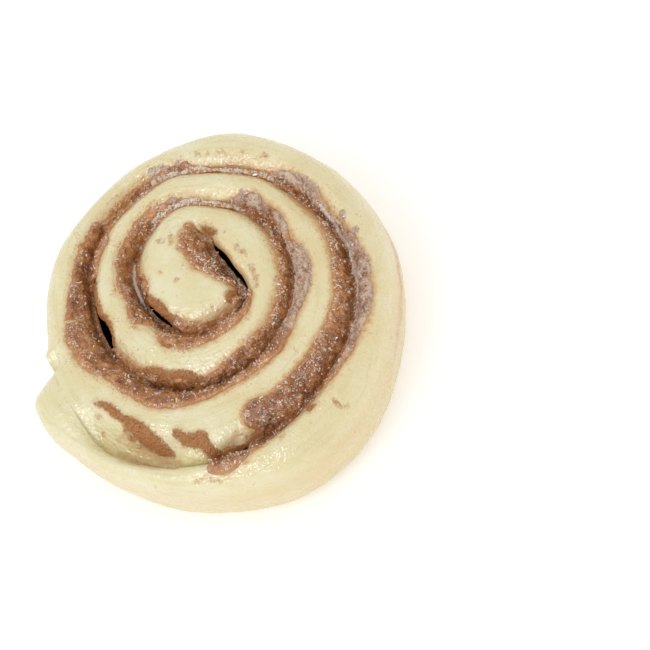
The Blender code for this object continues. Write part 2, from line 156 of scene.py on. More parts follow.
SPOTS = [
    [(15.3, 7.5, 0.3), (15.2, 6.0, 0.6), (15.8, 4.2, 0.4)], [(15.0, 0.4, 0.5), (14.4, -0.6, 0.5)],
    [(14.4, -2.4, 0.5), (13.2, -4.0, 0.4)], [(1.4, 22.0, 0.2), (2.6, 21.2, 0.3)],
    [(4.8, 20.6, 0.6), (3.9, 18.6, 0.6)], [(4.6, 16.6, 0.7), (5.4, 14.8, 0.5)],
    [(6.9, -9.6, 0.2), (8.2, -8.6, 0.2)], [(-2.0, 14.0, 0.2)], [(1.2, 5.6, 0.2)],
    [(-33.3, -4.8, 0.4), (-32.8, -6.1, 0.3)], [(-34.5, -7.8, 0.4)], [(-32.5, -17.3, 0.2)],
    [(-24.0, -33.1, 0.2), (-21.5, -34.5, 0.25), (-19.6, -36.6, 0.2)],
    [(2.0, 20.7, 0.3), (2.9, 20.2, 0.3)], [(-0.5, 9.6, 0.4), (0.5, 9.3, 0.2)], [(-4.3, 9.5, 0.2)],
    [(2.5, -1.2, 0.4)], [(15.0, 12.1, 0.4)], [(21.2, 34.2, 0.3), (22.1, 33.2, 0.3)],
    [(23.6, 32.3, 0.3)], [(25.9, 30.4, 0.4), (27.2, 29.5, 0.3)], [(7.9, 39.2, 0.6)],
    [(21.2, 18.8, 0.4)], [(32.0, 23.0, 0.3), (33.7, 22.0, 0.4)], [(30.2, 26.6, 0.3)],
    [(10.9, -39.4, 0.4), (11.1, -40.5, 0.4)], [(12.2, -41.1, 0.35)], [(-2.9, -38.6, 0.5)],
]
# Folds dented into the pocket's floor, with painted shade in their creases.
SHADED_FOLDS = [
    [(-33.5, -10.5, 0.1), (-31.0, -15.5, 0.3), (-28.0, -21.0, 0.3), (-24.5, -26.0, 0.1)],
    [(-34.8, -13.0, 0.1), (-32.5, -17.5, 0.3), (-29.3, -22.5, 0.2), (-25.8, -27.5, 0.1)],
    [(-31.5, -12.0, 0.0), (-29.6, -16.5, 0.2), (-27.5, -20.0, 0.0)],
    [(-18.5, -30.2, 0.1), (-15.5, -31.6, 0.5), (-12.6, -31.2, 0.7), (-9.8, -30.6, 0.2)],
]
FROSTS = [
    [(36.0, 13.4, 0.9), (36.3, 11.0, 1.5), (36.8, 8.1, 1.3), (37.0, 5.9, 0.7)],
    [(38.6, -2.5, 0.6), (37.9, -4.2, 0.6)],
    [(38.7, -8.3, 0.7), (36.9, -8.8, 0.8)],
    [(36.0, -13.5, 1.3), (35.4, -16.7, 1.4), (32.8, -19.7, 1.4), (30.4, -24.0, 1.1),
     (27.9, -26.4, 0.7)],
    [(16.6, 36.0, 1.1)],
    [(24.0, 17.6, 1.0), (24.6, 15.3, 1.4), (25.9, 12.6, 1.1)],
    [(27.2, 6.4, 0.9), (26.4, 5.0, 0.7)],
    [(26.0, -3.2, 1.0), (25.2, -6.7, 1.4), (23.8, -10.4, 1.2), (20.8, -13.4, 0.9)],
    [(13.2, 38.0, 1.0), (10.4, 39.0, 0.7)],
]

# The brown line low on the rim: turn, spread, height and half width in mm.
RIM_STAIN = (3.21, 0.10, 10.5, 1.2)

# How far smears and frost stand out and folds go in; below MARKS_ABOVE, in mm, there are no marks.
SMEAR_THICK, FROST_THICK, FOLD_DEPTH = 0.28 * MM, 0.22 * MM, 0.35 * MM
MARKS_ABOVE = 12

# The dough's own relief: (height in mm, size in mm, seed) of lumps, and of lines along the turns.
LUMPS = [(0.20, 9, 3), (0.10, 3.6, 5), (0.045, 1.7, 7)]
LINES = [(0.10, 1.1, 11), (0.05, 0.6, 13)]

# Distances outward from a coat's edge: far from any, the deepest that counts on one, and in the slot.
# NO_COAT is a coat's width where there is none.
FAR, EDGE_LIMIT, IN_SLOT = 0.05, 1.2 * MM, -3 * MM
NO_COAT = -1.0

# Where the filling's outer side is frosted with sugar: (turn, spread).
FROSTED = [
    (1.29, 0.08), (2.25, 0.12), (1.03, 0.07), (2.04, 0.08), (1.125, 0.03), (1.185, 0.02), (2.14, 0.03),
]

# White sugar where two turns meet: (turn, spread, half width in mm, mm from the seam, amount).
SUGAR_LINES = [
    (0.785, 0.07, 0.42, 0.3, 1.2), (1.01, 0.10, 0.6, 0.0, 0.75), (1.30, 0.11, 0.42, 1.0, 0.9),
    (2.03, 0.10, 0.6, 0.0, 0.75), (2.27, 0.10, 0.42, 0.8, 1.2),
]

# How finely the surfaces are divided.
STATIONS = 560
ACROSS_TOP = 24
ACROSS_BASE = 4
CORE_RINGS = 16
BASE_CORE_RINGS = 2
SLOT_ROWS = (0, 0.04, 0.15, 0.5, 1)
WALL_ROWS = np.arange(21) / 20
SEAM_SAMPLES_A_TURN = 400
SWEEP_SAMPLES = 20001
FILLING_STEP = 0.22 * MM
FILLING_ACROSS = 56

# How many places are worked out at a time, and which parts of the seam can shape them: the nearest,
# all below MIDDLE_TURNS for places there, and all above END_TURNS for places above REACHES_END.
BLOCK = 2000
NEAR_TURNS = 0.16
MIDDLE_TURNS = 1.2
END_TURNS, REACHES_END = 2.4, 2.3

# The sugar crystals: how many, on which side of the bun (turn, spread) there are more of them, their
# least and greatest size, and how they are drawn out.
CRYSTALS = 1600
CRYSTALS_TOWARDS = (0.22, 0.2)
CRYSTAL_SIZE = (0.18 * MM, 0.62 * MM)
CRYSTAL_STRETCH = np.array([0.7, 1.9, 0.7])

# The filling's surface: its thickness on the dough, the margin beside it where it lies hidden under
# the dough, how it fills the slot, its grain, and how many columns its rounded edge reaches over.
COAT_THICK = 0.75 * MM
COAT_HIDDEN = 0.35 * MM
COAT_MARGIN = 1.3 * MM
FILL_BLEND = 1.2 * MM
SLIT_FALL = 3.0 * MM
SLIT_OPENS = 0.4 * MM
RAGGED = 0.45 * MM
GRAIN = 0.5 * MM
ROUNDED_OVER = 14


def smooth(x):
    """0 below 0, 1 above 1, and an even S between."""
    x = np.clip(x, 0.0, 1.0)
    return x * x * (3 - 2 * x)


def bump(turn, middle, spread):
    """1 at the middle, falling to 0 over about twice the spread."""
    return np.exp(-(((turn - middle) / spread) ** 2))


def plateau(turn, middle, spread):
    """1 round the middle, falling steeply to 0 at about the spread on either side."""
    return np.exp(-(((turn - middle) / spread) ** 4))


def through(knots, values, place):
    """A smooth curve through the values at their knots (cubic Hermite)."""
    place = np.clip(place, knots[0], knots[-1])
    slopes = np.gradient(values, knots)
    k = np.clip(np.searchsorted(knots, place, side="right") - 1, 0, len(knots) - 2)
    span = knots[k + 1] - knots[k]
    t = (place - knots[k]) / span
    return (
        values[k] * (1 + 2 * t) * (1 - t) ** 2
        + values[k + 1] * t**2 * (3 - 2 * t)
        + span * slopes[k] * t * (1 - t) ** 2
        + span * slopes[k + 1] * t**2 * (t - 1)
    )


# Repeatable noise.


def lattice(ix, iy, iz, seed):
    """A repeatable value from 0 to 1 for every whole-numbered place."""
    mixed = (ix * 374761393 + iy * 668265263 + iz * 1103515245 + seed * 974634777) & 0xFFFFFFFF
    mixed = ((mixed ^ (mixed >> 13)) * 1274126177) & 0xFFFFFFFF
    return (mixed ^ (mixed >> 16)) / 4294967295.0


def noise(points, size, seed):
    """Smooth noise from -1 to 1 with features of the given size."""
    place = points / size
    whole = np.floor(place).astype(np.int64)
    part = place - whole
    part = part**3 * (part * (part * 6 - 15) + 10)
    total = np.zeros(len(points))
    for corner in np.ndindex(2, 2, 2):
        weight = np.ones(len(points))
        for axis, step in enumerate(corner):
            weight = weight * (part[:, axis] if step else 1 - part[:, axis])
        total += weight * lattice(*(whole + corner).T, seed)
    return total * 2 - 1


def layered(points, size, seed, layers=3):
    """Noise with finer noise added to it, each layer half the size and half the strength."""
    total = sum(noise(points, size / 2**k, seed + 17 * k) / 2**k for k in range(layers))
    return total / sum(0.5**k for k in range(layers))


def grains(points, size, seed):
    """Rounded grains: 1 at a grain's middle and 0 at its edge."""
    place = points / size
    whole = np.floor(place).astype(np.int64)
    nearest = np.full(len(points), 9.0)
    for step in np.ndindex(3, 3, 3):
        cell = (whole + step - 1).T
        middle = [c + lattice(*cell, seed + 31 * axis) for axis, c in enumerate(cell)]
        apart = sum((place[:, axis] - middle[axis]) ** 2 for axis in range(3))
        nearest = np.minimum(nearest, apart)
    return np.clip(1 - nearest / 0.8, 0, 1)


# The roll's shape, made as the solids are.


def seam_radius(turn):
    """Distance from the eye to the seam, and past OUTLINE_START to the outer wall."""
    return MM * through(PLAN[:, 0], PLAN[:, 1], np.asarray(turn, float))


STATION_TURNS = np.arange(4 * STATIONS) / STATIONS


def station_at(turn):
    return int(np.argmin(np.abs(STATION_TURNS - turn)))


def direction(turn):
    angle = START_ANGLE - 2 * math.pi * np.asarray(turn, float)
    return np.stack([np.cos(angle), np.sin(angle)], axis=-1)


def seam_point(turn):
    return EYE + seam_radius(turn)[..., None] * direction(turn)


def seam_normal(turn):
    """Unit vector across the seam, away from the eye."""
    step = 1e-4
    along = seam_point(np.asarray(turn) + step) - seam_point(np.asarray(turn) - step)
    along /= np.linalg.norm(along, axis=-1, keepdims=True)
    return np.stack([-along[..., 1], along[..., 0]], axis=-1)


def past_seam(turn):
    """0 along the seam and 1 past OUTLINE_START, along the outer wall."""
    return smooth((turn - OUTLINE_START) / WELD_SPREAD)


def slot_taper(turn):
    end = STATION_TURNS[station_at(SLOT_END)]
    return smooth(turn / SLOT_TAPER) * smooth((end - turn) / SLOT_TAPER)


def slit(turn, side):
    """Width of the open slit between the filling and the dough on that side of it."""
    width = sum(w * plateau(turn, middle, spread) for middle, spread, w, s in SLITS if s == side)
    return width * slot_taper(turn)


def looseness(turn):
    """1 where the turns lie apart, less where they are pressed together."""
    return 1 - TIGHTNESS * sum(plateau(turn, middle, spread) for middle, spread in TIGHT_SEAMS)


def slot_at_base(turn, side):
    """Half the slot's width at the base, where no slit is open."""
    return SLOT_HALF * looseness(turn) * slot_taper(turn)


def slot_at_top(turn, side):
    return slot_at_base(turn, side) + slit(turn, side)


def slit_share(turn, side):
    """1 where a slit is open on that side of the seam, where the dough's edge stays high and sharp."""
    share = sum(plateau(turn, middle, spread) for middle, spread, _, s in SLITS if s == side)
    return np.minimum(share, 1)


def groove_depth(turn, side):
    """Depth of the shoulder beside the seam or, past OUTLINE_START, of the rounded rim."""
    depth = GROOVE_DEPTH * looseness(turn) * smooth(turn / SLOT_TAPER)
    depth = depth + RECESS_EXTRA_DEPTH * bump(turn, RECESS_TURN, RECESS_SPREAD)
    depth = depth * (1 - SLIT_EDGE * slit_share(turn, side))
    depth = depth + (WELD_DEPTH - depth) * smooth((turn - WELD_TURN) / WELD_SPREAD + 1)
    return depth + (RIM_DEPTH - depth) * past_seam(turn)


def shoulder(turn, side):
    width = SHOULDER * (1 - SLIT_EDGE * slit_share(turn, side))
    width = width + (RIM_SHOULDER - width) * past_seam(turn)
    slope = ROLL_SLOPE if side == INNER else TAIL_SLOPE
    return width + slope * bump(turn, RECESS_TURN, RECESS_SPREAD)


def valley(turn, side):
    """0 where the shoulder falls away more and more steeply, 1 where it ends in a soft hollow."""
    there = smooth((turn - VALLEYS[side]) / VALLEY_SPREAD)
    return there * smooth((OUTLINE_START - turn) / VALLEY_END)


def base_depth(turn, side):
    ends = smooth(turn / SLOT_TAPER) * smooth((OUTLINE_START - turn) / SLOT_TAPER)
    return BASE_DEPTH * ends + BASE_RIM_DEPTH * past_seam(turn)


def base_shoulder(turn, side):
    return BASE_SHOULDER + (BASE_RIM_SHOULDER - BASE_SHOULDER) * past_seam(turn)


def swell(points):
    """Slow rise and fall of the top, so that no ridge is level."""
    x, y = points[..., 0] / SWELL_LENGTH, points[..., 1] / SWELL_LENGTH
    return SWELL * (np.sin(2.1 * x + 0.6) * np.cos(1.7 * y - 0.4) + 0.5 * np.sin(3.3 * y - 1.9 * x))


def free_side(turn, side):
    """1 where an open slit keeps the filling from the dough on that side of it."""
    return smooth(slit(turn, side) / SLIT_OPENS)


def coat_width(turn, side):
    """Width of the filling's coat beside the slot, on that side of it."""
    return MM * through(COATS[:, 0], COATS[:, 1 if side == INNER else 2], turn)


def coat_reach(turn, side):
    """How far from the slot's edge the filling's coat reaches, and NO_COAT where there is none."""
    coat = coat_width(turn, side) * (1 - free_side(turn, side))
    there = (turn > FILLING_START + COAT_ENDS[0]) & (turn < SLOT_END - COAT_ENDS[1])
    return np.where(there, coat, NO_COAT)


def far_coat(turn, side):
    """How far filling reaches over the dough's edge on the other side of an open slit."""
    width = np.zeros(len(turn))
    for middle, spread, most, where in FAR_COATS:
        width += most * plateau(turn, middle, spread) * (where == side)
    return np.where(width > 0.05 * MM, width, -FAR)


def drop(points, turns, opening, depth, width):
    """How far the surface lies below the crests, and how far outward from the coats' edges."""
    every = np.arange(FILLING_START, TAIL_END, 1 / SEAM_SAMPLES_A_TURN)
    centre, across = seam_point(every), seam_normal(every)
    half_step = 0.5 * np.linalg.norm(np.gradient(centre, axis=0), axis=1)
    on_seam = [values.astype(np.float32) for values in (centre, across, half_step)]
    asked = (opening, depth, width, valley, coat_reach, far_coat)
    beside_seam = {side: [f(every, side).astype(np.float32) for f in asked] for side in SIDES}
    fallen = np.zeros(len(points))
    edge = np.full((len(points), 2), FAR)
    for first in range(0, len(points), BLOCK):
        block = slice(first, first + BLOCK)
        low, high = turns[block].min(), turns[block].max()
        near = (every > low - NEAR_TURNS) & (every < high + NEAR_TURNS)
        near |= (every > low - 1 - NEAR_TURNS) & (every < high - 1 + NEAR_TURNS)
        near |= (every < MIDDLE_TURNS) & (low < MIDDLE_TURNS)
        near |= (every > END_TURNS) & (high > REACHES_END)
        centre, across, half_step = (values[near] for values in on_seam)
        offset = points[block, None].astype(np.float32) - centre[None]
        over = offset[..., 0] * across[None, :, 0] + offset[..., 1] * across[None, :, 1]
        beside = np.abs(offset[..., 0] * across[None, :, 1] - offset[..., 1] * across[None, :, 0])
        beside = np.maximum(beside - half_step, 0)
        reach = np.hypot(over, beside)
        coat_way = np.hypot(over, COAT_END_SHARPNESS * beside)
        before = every[near][None] < turns[block, None] - 0.5
        for side in SIDES:
            slot, deep, round_off, soft, *coats = (values[near] for values in beside_seam[side])
            mine = before == (side == OUTER)
            if side == OUTER:
                mine &= every[near][None] < OUTLINE_START
            away = reach - slot
            share = np.clip(1 - away / round_off, 0, 1)
            sharp = 1 - np.sqrt(1 - share**2)
            here = deep * (sharp + soft * (share**2 * (3 - 2 * share) - sharp))
            fallen[block] += np.where(mine, here, 0).max(axis=1)
            for k, coat in enumerate(coats):
                out = np.where(mine, coat_way - slot - coat, FAR).min(axis=1)
                edge[block, k] = np.minimum(edge[block, k], out)
    return fallen, np.maximum(edge, -EDGE_LIMIT)


def top_height(points, turns):
    fallen, edge = drop(points, turns, slot_at_top, groove_depth, shoulder)
    return HEIGHT + swell(points) - fallen, edge


def base_height(points, turns):
    """The underside, level where it rests."""
    raised, edge = drop(points, turns, slot_at_base, base_depth, base_shoulder)
    return np.where(raised > LEAST_RAISED, raised, 0), np.full(edge.shape, FAR)


def core_edge(turn):
    """Where the core disc ends and the strip begins: it starts and ends at the seam's inner end."""
    inner_share = seam_radius(0.0) / seam_radius(1.0)
    grown = 1 - (1 - turn) ** 4
    radius = seam_radius(turn) * (1 - (1 - inner_share) * grown)
    return EYE + radius[..., None] * direction(turn)


def strip_edges(stations, opening):
    """The strip's edge towards the eye and its edge away from it, at the stations."""
    turns = STATION_TURNS[stations]
    first_turn = turns < 1
    inside = np.maximum(turns - 1, 0)
    towards = seam_point(inside) + opening(inside, OUTER)[:, None] * seam_normal(inside)
    towards[first_turn] = core_edge(turns[first_turn])
    outline = turns >= OUTLINE_START
    width = np.where(outline, 0, opening(turns, INNER))
    return towards, seam_point(turns) - width[:, None] * seam_normal(turns)


def on_grid(height, flat, turns):
    """The heights and the distances from coats for a grid of places."""
    z, edge = height(flat.reshape(-1, 2), turns.reshape(-1))
    return z.reshape(turns.shape), edge.reshape(flat.shape)


def sheet_rows(height, deeper, opening, across, core_rings):
    """The strip's top or base as rows of (x, y, z, two distances from coats, turn), and the core's."""
    share = 0.5 - 0.5 * np.cos(np.pi * np.arange(across + 1) / across)
    first, last = station_at(OUTLINE_START), station_at(TAIL_END)
    stations = np.arange(last)
    turns = np.repeat(STATION_TURNS[stations, None], across + 1, axis=1)
    a, b = strip_edges(stations, opening)
    flat = a[:, None] + share[None, :, None] * (b - a)[:, None]
    z, edge = on_grid(height, flat, turns)
    welded = np.arange(station_at(SLOT_END), first)
    shared = deeper(z[welded, -1], z[welded + STATIONS, 0])
    z[welded, -1], z[welded + STATIONS, 0] = shared, shared
    z[0], z[STATIONS, 0] = z[0, -1], z[0, -1]
    strip = np.dstack([flat, z, edge, turns])
    strip = np.concatenate([strip, np.repeat(strip[first][None, -1:], across + 1, axis=1)])
    rings = np.arange(core_rings + 1) / core_rings
    rim = strip[:STATIONS + 1, 0]
    flat = EYE + rings[None, :, None] * (rim[:, None, :2] - EYE)
    z, edge = on_grid(height, flat, np.zeros(flat.shape[:2]))
    z[:, -1], edge[:, -1] = rim[:, 2], rim[:, 3:5]
    core = np.dstack([flat, z, edge, np.zeros(z.shape)])
    return strip, core


def wall_rows(top, base, shares, outward=None):
    """Rows of points down a wall from its top to its base, bulging outward where it faces out."""
    share = np.array(shares)[None, :, None]
    points = top[:, None] + share * (base - top)[:, None]
    points[..., 5] = top[:, None, 5]
    if outward is not None:
        points[..., :2] += WALL_BULGE * np.sin(np.pi * share) * outward[:, None]
    return points


def grid_faces(rows, columns, first):
    """The corner numbers of a grid's faces, for a grid whose points start at number first."""
    k = np.arange(rows - 1)[:, None] * columns + np.arange(columns - 1)[None] + first
    return np.stack([k, k + 1, k + columns + 1, k + columns], axis=-1).reshape(-1, 4)


def join_grids(grids):
    """Puts grids of points together into one list of points and one of faces."""
    points, faces, count = [], [], 0
    for grid in grids:
        points.append(grid.reshape(-1, grid.shape[-1]))
        faces.append(grid_faces(grid.shape[0], grid.shape[1], count))
        count += grid.shape[0] * grid.shape[1]
    return np.concatenate(points), np.concatenate(faces).tolist()


def make_mesh(name, points, faces, facts, weld=True):
    """A closed mesh from points and faces, with named values, its facts, at its points."""
    mesh = bpy.data.meshes.new(name)
    mesh.from_pydata(points.tolist(), [], faces)
    for key, values in facts.items():
        mesh.attributes.new(key, "FLOAT", "POINT").data.foreach_set("value", values.astype(np.float32))
    work = bmesh.new()
    work.from_mesh(mesh)
    if weld:
        bmesh.ops.remove_doubles(work, verts=work.verts, dist=0.004 * MM)
        bmesh.ops.dissolve_degenerate(work, edges=work.edges, dist=0.002 * MM)
    bmesh.ops.recalc_face_normals(work, faces=work.faces)
    work.to_mesh(mesh)
    work.free()
    mesh.shade_smooth()
    return mesh


def surface(mesh):
    """The mesh's points, and the way its surface faces at each."""
    found = np.empty((2, len(mesh.vertices) * 3))
    mesh.vertices.foreach_get("co", found[0])
    mesh.vertex_normals.foreach_get("vector", found[1])
    return found.reshape(2, -1, 3)


def fact(mesh, key):
    values = np.empty(len(mesh.vertices), np.float32)
    mesh.attributes[key].data.foreach_get("value", values)
    return values.astype(float)


def set_fact(mesh, key, values):
    layer = mesh.attributes.get(key) or mesh.attributes.new(key, "FLOAT", "POINT")
    layer.data.foreach_set("value", np.asarray(values, np.float32))


def move_points(mesh, places):
    mesh.vertices.foreach_set("co", places.reshape(-1))
    mesh.update()


def add_object(name, data):
    made = bpy.data.objects.new(name, data)
    scene.collection.objects.link(made)
    return made


def add_piece(name, mesh, finish):
    mesh.materials.append(finish)
    piece = add_object(name, mesh)
    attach(piece, "root")
    return piece


# The dough.


def dough_mesh():
    top, top_core = sheet_rows(top_height, np.minimum, slot_at_top, ACROSS_TOP, CORE_RINGS)
    base, base_core = sheet_rows(base_height, np.maximum, slot_at_base, ACROSS_BASE, BASE_CORE_RINGS)
    slot = np.arange(station_at(SLOT_END) + 1)
    first, last = station_at(OUTLINE_START), station_at(TAIL_END)
    around = np.array([*range(first, last), first])
    outward = seam_normal(STATION_TURNS[around])
    inner_wall = wall_rows(top[slot, -1], base[slot, -1], SLOT_ROWS)
    outer_wall = wall_rows(top[slot + STATIONS, 0], base[slot + STATIONS, 0], SLOT_ROWS)
    for wall in (inner_wall, outer_wall):
        wall[:, 1:, 3] = IN_SLOT
    rim = wall_rows(top[around, -1], base[around, -1], WALL_ROWS, outward)
    rim[:, 1:, 3:5] = FAR
    sheets = [top, top_core, base, base_core, inner_wall, outer_wall, rim]
    points, faces = join_grids(sheets)
    facts = dict(zip(("edge", "smear", "turn"), points[:, 3:].T))
    mesh = make_mesh("dough", points[:, :3], faces, facts)
    shape_dough(mesh)
    return mesh


def stroke_distance(places, strokes):
    """Distance outward from the edge of the nearest stroke, less than 0 on it. All in mm."""
    nearest = np.full(len(places), FAR / MM)
    for stroke in strokes:
        for start, end in zip(stroke, stroke[1:] or stroke):
            start, end = np.array(start), np.array(end)
            way = end[:2] - start[:2]
            share = np.clip((places[:, :2] - start[:2]) @ way / max(way @ way, 1e-9), 0, 1)
            apart = np.linalg.norm(places[:, :2] - start[:2] - share[:, None] * way, axis=1)
            nearest = np.minimum(nearest, apart - start[2] - share * (end[2] - start[2]))
    return nearest


def shape_dough(mesh):
    """Lumps, lines along the turns, and marks of filling and sugar, raised from the dough."""
    places, normals = surface(mesh)
    turn = fact(mesh, "turn")
    mm = places / MM
    x, y = (mm[:, :2] - EYE / MM).T
    angle = np.arctan2(y, x)
    away = np.hypot(x, y) - seam_radius(np.minimum(turn, TAIL_END - 1e-3)) / MM
    set_fact(mesh, "away", away)

    shift = sum(height * noise(mm, size, seed) for height, size, seed in LUMPS)
    lines = np.column_stack([np.cos(angle) * 4, np.sin(angle) * 4, away + 0.35 * mm[:, 2]])
    drawn = sum(height * noise(lines, size, seed) for height, size, seed in LINES)
    shift = shift + drawn * smooth((turn - 0.9) / 0.8)

    upper = mm[:, 2] > MARKS_ABOVE
    edge = fact(mesh, "edge")
    bare = -MM * stroke_distance(mm, BARE)
    set_fact(mesh, "edge", np.where(edge > -1.1 * EDGE_LIMIT, np.maximum(edge, bare), edge))
    ragged = 0.5 * layered(mm, 2.6, 71, 2)
    far = np.where(upper, fact(mesh, "smear") / MM, FAR / MM)
    smear = np.minimum(far, stroke_distance(mm, SMEARS)) + ragged
    spots = stroke_distance(mm, SPOTS) + 0.3 * ragged
    frost = stroke_distance(mm, FROSTS) + 1.3 * ragged
    shaded_folds = stroke_distance(mm, SHADED_FOLDS)
    for key, values in (("smear", smear), ("spots", spots), ("frost", frost), ("shaded_folds", shaded_folds)):
        set_fact(mesh, key, np.where(upper, values, FAR / MM))
    middle, spread, level, half = RIM_STAIN
    lens = 1 - ((turn - middle) / spread) ** 2
    set_fact(mesh, "stain", np.abs(mm[:, 2] - level - 1.2 * noise(mm, 8, 79)) - half * lens)
    height = grains(mm, 0.9, 73)
    raised = SMEAR_THICK * smooth(-smear / 0.5) + FROST_THICK * smooth(-frost / 0.6)
    raised = raised * (0.55 + 0.9 * height) - FOLD_DEPTH * smooth(1 - shaded_folds / 0.6)
    raised = raised * upper / MM

    resting = smooth((places[:, 2] - 0.3 * MM) / (1.5 * MM))
    move_points(mesh, places + normals * ((shift + raised) * resting * MM)[:, None])


# The filling.


def filling_mesh():
    """The layer of filling: its section is swept along the seam, with a grainy, ragged-edged top."""
    slot_stops = STATION_TURNS[station_at(SLOT_END)]
    fine = np.linspace(SWEEP_MARGIN, slot_stops - SWEEP_MARGIN, SWEEP_SAMPLES)
    steps = np.linalg.norm(np.diff(seam_point(fine), axis=0), axis=1)
    length = np.concatenate([[0], np.cumsum(steps)])
    count = int(length[-1] / FILLING_STEP)
    along = np.linspace(0, length[-1], count)
    turns = np.interp(along, length, fine)
    centre, across = seam_point(turns), seam_normal(turns)

    asked = (slot_at_top, free_side, coat_width)
    edge, free, coat = ({side: f(turns, side) for side in SIDES} for f in asked)
    wall = {side: np.maximum(slot_at_base(turns, side) - CLEARANCE, LEAST_HALF) for side in SIDES}
    end = {
        side: (edge[side] + coat[side] + COAT_MARGIN) * (1 - free[side]) + wall[side] * free[side]
        for side in SIDES
    }
    share = np.linspace(0, 1, FILLING_ACROSS)
    s = -end[INNER][:, None] + share[None] * (end[INNER] + end[OUTER])[:, None]
    flat = centre[:, None] + s[..., None] * across[:, None]
    ground = np.zeros(s.shape)
    for beyond in (0, 1):
        mine = (s > 0) == bool(beyond)
        ring = np.broadcast_to(turns[:, None] + beyond, s.shape)
        ground[mine] = top_height(flat[mine], ring[mine])[0]

    def by_side(values):
        """For each place, the values of the side of the seam that it is on."""
        return np.where(s > 0, values[OUTER][:, None], values[INNER][:, None])

    deeper = np.maximum(groove_depth(turns, INNER), groove_depth(turns, OUTER))
    floor = HEIGHT + swell(centre) - deeper
    width_here = by_side(edge)
    in_slot = np.abs(s) < width_here
    ground = np.where(in_slot, floor[:, None], ground)

    mm = np.column_stack([flat.reshape(-1, 2), ground.reshape(-1)]) / MM

    def uneven(size, seed, layers):
        return layered(mm, size, seed, layers).reshape(s.shape)

    ragged = 1.7 * RAGGED * uneven(2.6, 23, 4)
    inside = by_side(coat) + width_here - np.abs(s) + ragged
    bare = MM * stroke_distance(flat.reshape(-1, 2) / MM, BARE).reshape(s.shape)
    inside = np.where(in_slot, inside, np.minimum(inside, bare + 0.4 * ragged))
    ends = np.minimum(along - along[0], along[-1] - along)[:, None]
    inside = np.minimum(inside, ends + 0.5 * ragged - 0.4 * MM)
    inside = np.where(by_side(free) > 0.5, np.maximum(inside, 1 * MM), inside)
    lumps = 1 + 0.35 * uneven(3.0, 29, 2)
    thick = (COAT_THICK + COAT_HIDDEN) * lumps * smooth(inside / (1.1 * MM) + 0.25) - COAT_HIDDEN

    spread = s[:, 1] - s[:, 0]
    top = ground + np.minimum(thick, 0)
    for k in range(-ROUNDED_OVER, ROUNDED_OVER + 1):
        source = np.clip(np.arange(FILLING_ACROSS) + k, 0, FILLING_ACROSS - 1)
        apart = (k * spread)[:, None]
        lift = thick[:, source]
        lifted = ground[:, source] + np.sqrt(np.maximum(lift**2 - apart**2, 0))
        top = np.where((lift > 0) & (lift > np.abs(apart)), np.maximum(top, lifted), top)
    level = floor[:, None] + FILLING_RISE + 0.3 * MM * uneven(4.0, 31, 2)
    level = level - 2.5 * MM * (np.abs(s) / (width_here + 1.8 * MM)) ** 4
    for side in SIDES:
        level = level - SLIT_FALL * free[side][:, None] * smooth((side * s + 1.1 * MM) / (1.9 * MM))
    near = np.clip(1 - np.abs(top - level) / FILL_BLEND, 0, 1)
    fill = np.maximum(top, level) + FILL_BLEND * near**2 / 4
    top = np.where(inside > 0, fill, top)

    def corner(side, height):
        return np.column_stack([centre + side * wall[side][:, None] * across, height])

    border = {INNER: top[:, 0], OUTER: top[:, -1]}
    under = {side: np.minimum(border[side] - 0.8 * MM, floor - 0.4 * MM) for side in SIDES}
    low = np.full(count, FILLING_BASE)
    right, left = corner(OUTER, under[OUTER]), corner(INNER, under[INNER])
    bottom = [right, corner(OUTER, low), corner(INNER, low), left]
    loop = np.concatenate([np.dstack([flat, top]), np.stack(bottom, axis=1)], axis=1)
    loop = np.concatenate([loop, loop[:, :1]], axis=1)

    def on_top(values):
        whole = np.zeros(loop.shape[:2])
        whole[:, :FILLING_ACROSS] = values
        return whole

    body = on_top(smooth((thick + COAT_HIDDEN + 0.1 * MM) / (0.5 * MM)))
    body[:, -1] = body[:, 0]
    turn = np.repeat(turns[:, None], loop.shape[1], axis=1)
    packed = np.dstack([loop, body, on_top(inside / MM), turn, on_top(s / MM)])
    points, faces = join_grids([packed])
    columns = loop.shape[1]
    faces.append(list(range(columns - 1)))
    faces.append([len(points) - columns + k for k in range(columns - 1)])
    facts = dict(zip(("body", "inside", "turn", "offset"), points[:, 3:].T))
    mesh = make_mesh("filling", points[:, :3], faces, facts)
    grain_filling(mesh)
    return mesh


def grain_filling(mesh):
    """Pushes grains and lumps out of the filling, and notes how far each place stands out."""
    places, normals = surface(mesh)
    mm = places / MM
    warped = mm + 0.35 * np.column_stack([noise(mm, 0.9, seed) for seed in (41, 43, 47)])
    coarse, fine = grains(warped, 1.35, 53), grains(warped, 0.75, 59)
    height = 0.65 * (coarse - 0.45) + 0.5 * (fine - 0.45) + 0.6 * layered(mm, 2.4, 61, 3)
    body = fact(mesh, "body")
    move_points(mesh, places + normals * (GRAIN * height * body)[:, None])
    set_fact(mesh, "grain", height)

    turn, offset = fact(mesh, "turn"), fact(mesh, "offset")
    sugar = np.zeros(len(mm))
    for middle, spread, half_width, shift, amount in SUGAR_LINES:
        apart = np.abs(offset - shift - 0.5 * noise(mm, 5, 67)) / half_width
        sugar = np.maximum(sugar, amount * plateau(turn, middle, spread) * np.exp(-(apart**4)))
    set_fact(mesh, "sugar", sugar)
    frost = sum(plateau(turn, middle, spread) for middle, spread in FROSTED)
    set_fact(mesh, "frost", np.minimum(frost, 1) * smooth((offset - 0.4) / 0.9))


